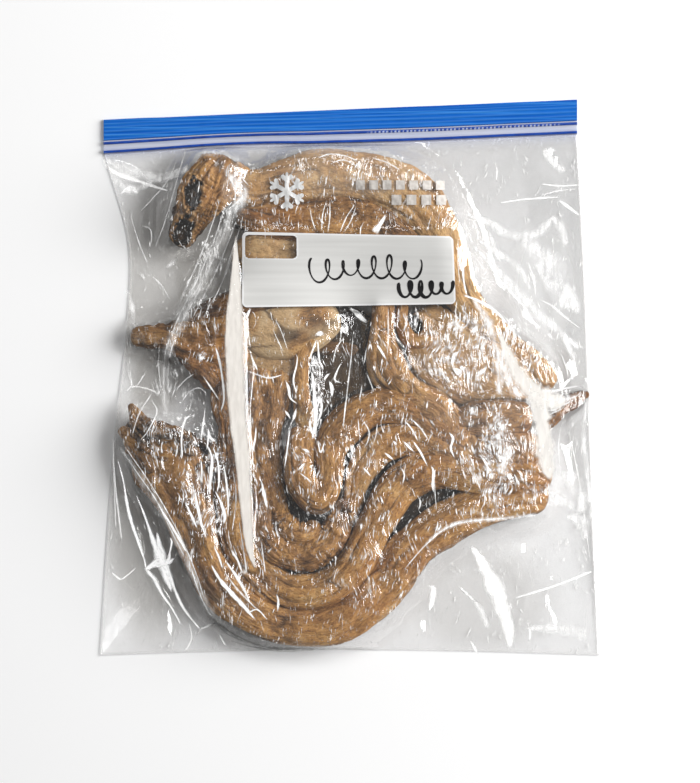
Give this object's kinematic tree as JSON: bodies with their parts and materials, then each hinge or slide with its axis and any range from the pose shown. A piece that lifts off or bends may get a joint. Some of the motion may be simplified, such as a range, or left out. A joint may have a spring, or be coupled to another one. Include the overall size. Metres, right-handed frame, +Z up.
{
  "type": "dried snakehead fish in a zip freezer bag",
  "caption": "Dried snakehead fish, bent and coiled over each other, in a clear zip freezer bag that lies flat, with a blue zip lip and a white write-on panel.",
  "frame": {"origin": "middle of the bag's bounding box, on the surface that it lies on", "axes": "+X across the bag, +Y along the bag towards its zip, +Z up from the surface it lies on, out of the face with the write-on panel"},
  "size_m": [0.2694, 0.3, 0.0239],
  "materials": {
    "fish_under_film": "dried golden brown fish seen through clear film",
    "dried_fish": "leathery dried fish, wrinkled along its length, slightly oily",
    "clear_film": "clear crinkled polyethylene film",
    "lip_blue": "blue tinted ribbed polyethylene",
    "track_blue": "dark blue zip track",
    "band_clear": "clear lilac tinted polyethylene",
    "panel_white": "matt off-white print on film",
    "print_white": "white ink on film",
    "marker_black": "black marker ink"
  },
  "bodies": {
    "root": {"bag": "fish_under_film", "zip_lip": "lip_blue", "zip_track_upper": "track_blue", "zip_band": "band_clear", "zip_track_lower": "track_blue", "write_on_panel": "panel_white"}
  },
  "joints": []
}
